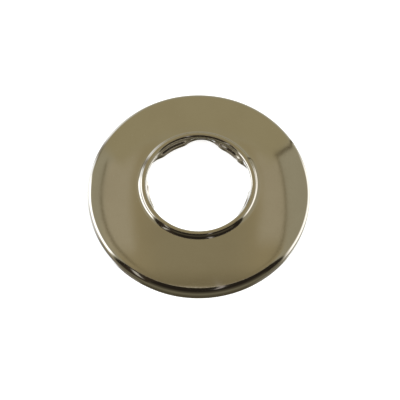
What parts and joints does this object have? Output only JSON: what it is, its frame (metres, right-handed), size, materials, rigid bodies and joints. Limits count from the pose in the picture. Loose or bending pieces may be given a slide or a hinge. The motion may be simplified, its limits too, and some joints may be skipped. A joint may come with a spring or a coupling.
{
  "type": "pipe rosette",
  "caption": "Round domed pipe rosette of plated sheet steel, with a rolled lip and a crimped inner collar that grips the pipe.",
  "frame": {"origin": "centre of the back, in the plane where the rim's foot meets the wall", "axes": "+Z along the pipe's axis, away from the wall towards the room; +Y points to the back of the picture, away from the camera; +X to the picture's right"},
  "size_m": [0.073, 0.073, 0.0092],
  "materials": {
    "plated_steel": "polished, warm grey plating"
  },
  "bodies": {
    "root": {"rosette": "plated_steel"}
  },
  "joints": []
}
